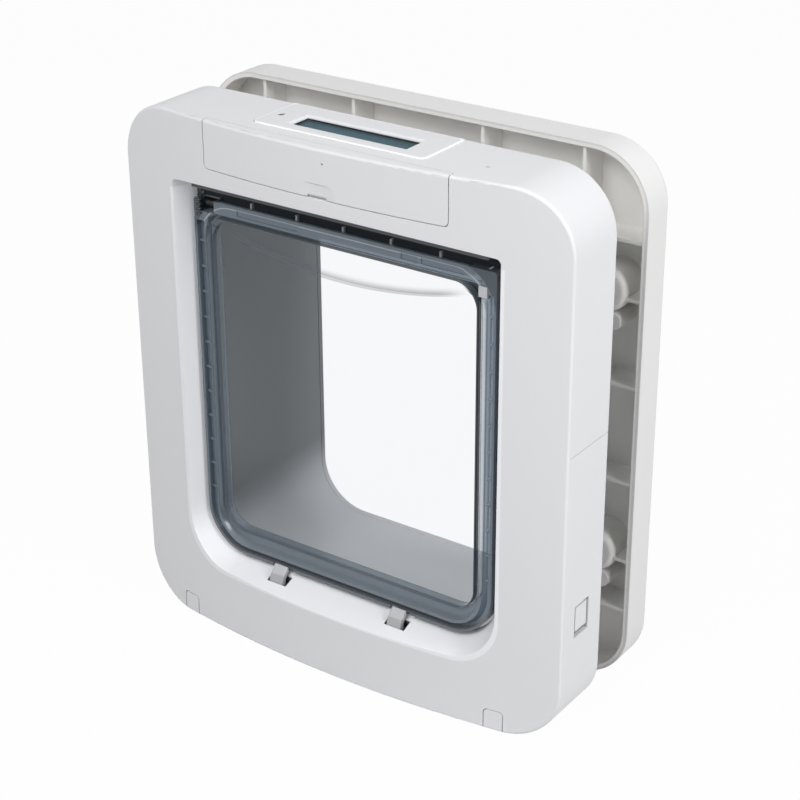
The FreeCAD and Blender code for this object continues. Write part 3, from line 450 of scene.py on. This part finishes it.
def stepShadeVeil(f, where):
    x, y, z = f.axes(where)
    over = z - (x * x * paneStep["bow"] + paneStep["lowest"])
    ends = 1.0 - (x * x * (1.0 / paneStep["half"] ** 2)).rise(*paneStep["ends"])
    fade = 1.0 - over.rise(0.0, paneStep["width"])
    far = outlineDistance(f, where, bands)
    rim = far.rise(*bands["rim"])
    # painted shade: a dark line on the front of the pane's rim
    line = far.rise(*bands["line"]) * (1.0 - y.rise(*bands["frontFace"])) * x.rise(*bands["lineFrom"])
    # painted shade: the soft grey veil above the bowed step's arc
    veil = over.rise(-paneStep["edge"], 0.0) * fade * ends * paneStep["depth"]
    return {"thick": veil + rim * bands["rimDepth"] + line * bands["lineDepth"],
            "dark": line * bands["lineShade"]}


finishes["clear_pane"] = thinFinish("clearPane", {
    "colour": (0.135, 0.158, 0.178, 1), "shade": (0.125, 0.147, 0.166, 1), "deep": (0.02, 0.03, 0.036, 1),
    "film": (0.985, 0.992, 0.996, 1), "sheen": (0.9, 0.95, 1.0, 1), "flow": 6.0, "grain": 300.0,
    "rough": 0.05, "roughSpread": 0.05, "body": 0.014, "cloud": 0.006, "gloss": 0.35,
    "relief": 0.00001}, stepShadeVeil)

# nodes with a finish of their own; the others take their record's slot
ownFinish = {"mode_button": "button", "catch_left": "latch", "catch_right": "latch"}
slots = {entry["node"]: entry["material_slot"] for entry in frame["record"]["subparts"]}
for name, thing in nodes.items():
    thing.data.materials.clear()
    thing.data.materials.append(finishes[ownFinish.get(name, slots[name])])
print("finishes made,", len(finishes))


# a grid of points, shaped (rows, columns, 3), as a smooth mesh with its own UV map
def gridMesh(name, points):
    rows, columns = points.shape[:2]
    i, j = np.meshgrid(np.arange(rows - 1), np.arange(columns), indexing="ij")
    i, j = i.ravel(), j.ravel()
    nextJ = (j + 1) % columns  # the columns go round and close
    faces = np.stack([i * columns + j, (i + 1) * columns + j, (i + 1) * columns + nextJ,
                      i * columns + nextJ], 1)
    mesh = bpy.data.meshes.new(name)
    mesh.from_pydata(points.reshape(-1, 3).tolist(), [], faces.tolist())
    u = np.stack([i, i + 1, i + 1, i], 1) / (rows - 1)
    v = np.stack([j, j, j + 1, j + 1], 1) / (columns - 1)
    layer = mesh.uv_layers.new(name="around")
    layer.data.foreach_set("uv", np.stack([u.ravel(), v.ravel()], 1).ravel())
    mesh.polygons.foreach_set("use_smooth", np.ones(len(faces), bool))
    return mesh


def makePiece(name, points, body, finish, slotName, *stoodFor):
    mesh = gridMesh(name, points)
    mesh.materials.append(finishes[finish])
    piece = bpy.data.objects.new(name, mesh)
    bpy.context.scene.collection.objects.link(piece)
    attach(piece, body)
    if stoodFor:
        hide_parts(*stoodFor)


# domed cap of the mode button, half sunk in its top: the radius goes with the sine and the height
# with the cosine of the angle down from the pole
buttonCap = {"radius": 0.0016, "rise": 0.0007, "steps": 16, "around": 40, "pole": 0.01}


def makeButtonCap():
    low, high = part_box("mode_button")
    down = np.linspace(0, np.pi, buttonCap["steps"])[:, None]
    turn = np.linspace(0, 2 * np.pi, buttonCap["around"], endpoint=False)[None, :]
    ring = buttonCap["radius"] * np.maximum(np.sin(down), buttonCap["pole"])
    points = np.stack([(low.x + high.x) / 2 + ring * np.cos(turn), (low.y + high.y) / 2 + ring * np.sin(turn),
                       high.z + buttonCap["rise"] * np.cos(down) + 0 * turn], 2)
    makePiece("modeButtonCap", points, "button", "button", "grey_trim")


# round wire along a path, drawn in to points at both ends: each ring is the path's point plus the
# radius times (cos a side + sin a up); taper says how soon the full radius is reached
wire = {"around": 10, "tilt": (1.0, 0.013, 0.017), "point": 0.02}


def wireGrid(path, radius, taper):
    ahead = np.gradient(path, axis=0)
    ahead /= np.linalg.norm(ahead, axis=1, keepdims=True)
    side = np.cross(ahead, np.array(wire["tilt"]))
    side /= np.linalg.norm(side, axis=1, keepdims=True)
    up = np.cross(ahead, side)
    t = np.linspace(0, 1, len(path))
    radius = radius * np.clip(np.minimum(t, 1 - t) * taper, wire["point"], 1)
    turn = np.linspace(0, 2 * np.pi, wire["around"], endpoint=False)[None, :, None]
    ring = np.cos(turn) * side[:, None] + np.sin(turn) * up[:, None]
    return path[:, None] + ring * np.reshape(radius, (-1, 1, 1))


# return spring of the flap, a helix round the pin: x runs evenly along it while y and z go round with
# the cosine and sine of the turn
hingeSpring = {"turns": 8.5, "wire": 0.00042, "steps": 190, "taper": 60}


def makeHingeSpring():
    low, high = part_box("hinge_spring")
    middle = (low + high) / 2
    inset = hingeSpring["wire"]
    reach = (high.z - low.z) / 2 - inset
    t = np.linspace(0, 1, hingeSpring["steps"])
    turn = 2 * np.pi * hingeSpring["turns"] * t
    path = np.stack([low.x + inset + (high.x - low.x - 2 * inset) * t,
                     middle.y + reach * np.cos(turn), middle.z + reach * np.sin(turn)], 1)
    makePiece("hingeSpringCoil", wireGrid(path, hingeSpring["wire"], hingeSpring["taper"]),
              "flap", "dark_spring", "dark_spring", "hinge_spring")


# upright leg of the return spring at the flap's upper left corner, half sunk in the frame's front: an
# upright helix, x and y with the cosine and sine of the turn while z runs evenly
springLeg = {"x": -0.0863, "from": 0.2318, "to": 0.2428, "reach": 0.0015, "wire": 0.00042, "turns": 4.5,
             "steps": 110, "taper": 40}


def makeSpringLeg():
    look = springLeg
    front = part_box("flap_frame")[0].y
    t = np.linspace(0, 1, look["steps"])
    turn = 2 * np.pi * look["turns"] * t
    path = np.stack([look["x"] + look["reach"] * np.cos(turn),
                     front + look["wire"] + look["reach"] * np.sin(turn),
                     look["from"] + (look["to"] - look["from"]) * t], 1)
    makePiece("springLeg", wireGrid(path, look["wire"], look["taper"]), "flap", "dark_spring", "dark_spring")


# end strips of the felt over the flap's corner blocks: a flat bar whose top edge is cut to a fringe,
# the top's height plus the fringe times the sine of x times the ripple
felt = {"from": 0.0745, "to": 0.0875, "thick": 0.0011, "foot": 0.2418, "top": 0.2459, "fringe": 0.0004,
        "ripple": 9000.0, "steps": 60}


def makeFeltEnd(name, side):
    look = felt
    low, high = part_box("flap_felt")
    x = side * np.linspace(look["from"], look["to"], look["steps"])
    top = look["top"] + look["fringe"] * np.sin(x * look["ripple"])
    middle = (low.y + high.y) / 2
    corners = ((-1, 0), (1, 0), (1, 1), (-1, 1))  # front or back, foot or top
    grid = np.stack([np.stack([x, np.full(look["steps"], middle + across * look["thick"] / 2),
                               np.where(up, top, look["foot"])], 1) for across, up in corners], 1)
    closed = [end.mean(1, keepdims=True).repeat(len(corners), 1) for end in (grid[:1], grid[-1:])]
    points = np.concatenate([closed[0], grid, closed[1]])[::side]  # so that faces point outwards
    makePiece(name, points, "flap", "black_felt", "black_felt")


makeButtonCap()
makeHingeSpring()
makeSpringLeg()
makeFeltEnd("feltEndLeft", -1)
makeFeltEnd("feltEndRight", 1)
print("pieces made")


# floor, world and lamps; glow is the share of plain white in the backdrop as it is seen
studio = {"floorSize": 8.0, "floorColour": 0.6, "floorGlow": 0.975, "skyLevel": 0.08, "aim": (0.0, 0.0, 0.14),
          "frontAt": (0.0, -1.43, 1.14), "frontSize": 1.0, "frontPower": 8.0,
          "highAt": (0.0, -1.0, 1.42), "highSize": 1.0, "highPower": 11.1,
          "sideAt": (1.49, -0.1, 1.05), "sideSize": 0.9, "sidePower": 20.8}


# flat sheet: x and y run evenly over the square, z is zero
def flatSheet(name, size):
    side = np.array([-0.5, 0.5]) * size
    x, y = np.meshgrid(side, side, indexing="ij")
    points = np.stack([x.ravel(), y.ravel(), np.zeros(4)], 1)
    mesh = bpy.data.meshes.new(name)
    mesh.from_pydata(points.tolist(), [], [(0, 2, 3, 1)])
    return mesh


# 1 where the camera, a reflection or clear plastic shows the backdrop, 0 for light that has been scattered
def shownBackdrop(f):
    direct, glossy, passed, scattered = (
        f.add("ShaderNodeLightPath", out=name)
        for name in ("Is Camera Ray", "Is Glossy Ray", "Is Transmission Ray", "Diffuse Depth"))
    return direct.most(glossy.most(passed) * scattered.below(0.5))


def makeStudio():
    floor = bpy.data.objects.new("floor", flatSheet("floor", studio["floorSize"]))
    bpy.context.scene.collection.objects.link(floor)
    f = Finish(bpy.data.materials.new("paleFloor"))
    matt = f.add("ShaderNodeBsdfDiffuse", None, {"Color": grey(studio["floorColour"])})
    glow = f.add("ShaderNodeEmission", None, {"Color": grey(1.0), "Strength": 1.0})
    floor.data.materials.append(f.surface(f.mixShaders(shownBackdrop(f) * studio["floorGlow"], matt, glow)))
    world = bpy.data.worlds.new("studio")
    bpy.context.scene.world = world
    f = Finish(world)
    level = studio["skyLevel"] + shownBackdrop(f) * (1.0 - studio["skyLevel"])
    f.surface(f.add("ShaderNodeBackground", None, {"Color": grey(1.0), "Strength": level}))
    for name in ("front", "high", "side"):
        lamp = bpy.data.lights.new(name, "AREA")
        lamp.size = studio[name + "Size"]
        lamp.energy = studio[name + "Power"]
        place = bpy.data.objects.new(name, lamp)
        place.location = studio[name + "At"]
        place.rotation_euler = (Vector(studio["aim"]) - place.location).to_track_quat("-Z", "Y").to_euler()
        bpy.context.scene.collection.objects.link(place)


makeStudio()
print("studio made")

# the photograph's camera, worked out from the edges of both frames
lensView = {"azimuth": 35.234, "elevation": 25.835, "roll": -0.301, "lens": 89.49, "sensor": 36.0,
            "near": 0.05, "far": 40.0, "place": (0.53332, -0.75163, 0.58123)}


def makeCamera():
    az, el, roll = (math.radians(lensView[k]) for k in ("azimuth", "elevation", "roll"))
    back = Vector((math.sin(az) * math.cos(el), -math.cos(az) * math.cos(el), math.sin(el)))
    right = Vector((math.cos(az), math.sin(az), 0.0))
    up = back.cross(right)
    across = right * math.cos(roll) + up * math.sin(roll)
    upward = up * math.cos(roll) - right * math.sin(roll)
    turn = Matrix((across, upward, back)).transposed().to_4x4()
    data = bpy.data.cameras.new("camera")
    data.lens = lensView["lens"]
    data.sensor_width = lensView["sensor"]
    data.clip_start, data.clip_end = lensView["near"], lensView["far"]
    cam = bpy.data.objects.new("camera", data)
    cam.matrix_world = Matrix.Translation(lensView["place"]) @ turn
    bpy.context.scene.collection.objects.link(cam)
    bpy.context.scene.camera = cam


makeCamera()
bpy.context.scene.view_settings.view_transform = "Standard"
print("camera set")
